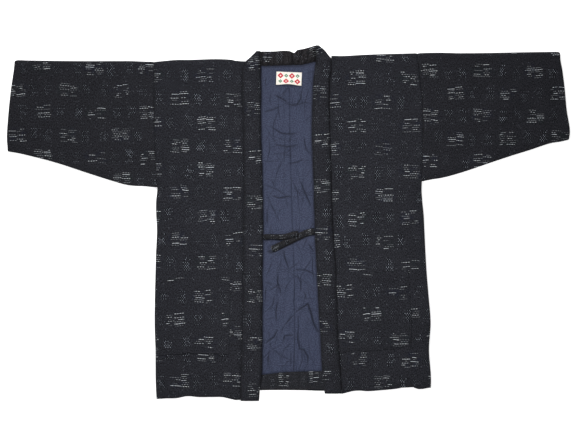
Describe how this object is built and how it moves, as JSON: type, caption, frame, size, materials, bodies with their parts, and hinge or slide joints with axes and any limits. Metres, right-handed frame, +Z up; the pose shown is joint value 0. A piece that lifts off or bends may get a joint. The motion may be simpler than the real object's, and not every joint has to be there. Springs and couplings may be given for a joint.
{
  "type": "hanten jacket laid flat",
  "caption": "Wadded short kimono-style jacket laid flat and open, with wide sleeves, padded collar band, patch pockets and a pair of sewn ties.",
  "frame": {"origin": "on the surface it lies on, under the middle of its bounding box", "axes": "+X across the jacket towards the wearer's left sleeve, +Y from the hem to the collar, +Z up from the surface"},
  "size_m": [1.2355, 0.78, 0.0206],
  "materials": {
    "outer_cloth": "matt ribbed cotton with white kasuri dashes",
    "collar_cloth": "matt ribbed cotton with white kasuri dashes",
    "lining_cloth": "plain cotton with a slight sheen",
    "label_cloth": "woven label, slight sheen"
  },
  "bodies": {
    "root": {"body_left": "outer_cloth", "body_right": "outer_cloth", "sleeve_left": "outer_cloth", "sleeve_right": "outer_cloth", "pocket_left": "outer_cloth", "pocket_right": "outer_cloth", "hem_facing": "outer_cloth", "collar_left": "collar_cloth", "collar_neck": "collar_cloth", "collar_right": "collar_cloth", "tie_left": "collar_cloth", "tie_right": "collar_cloth", "lining_left": "lining_cloth", "lining_right": "lining_cloth", "label": "label_cloth"}
  },
  "joints": []
}
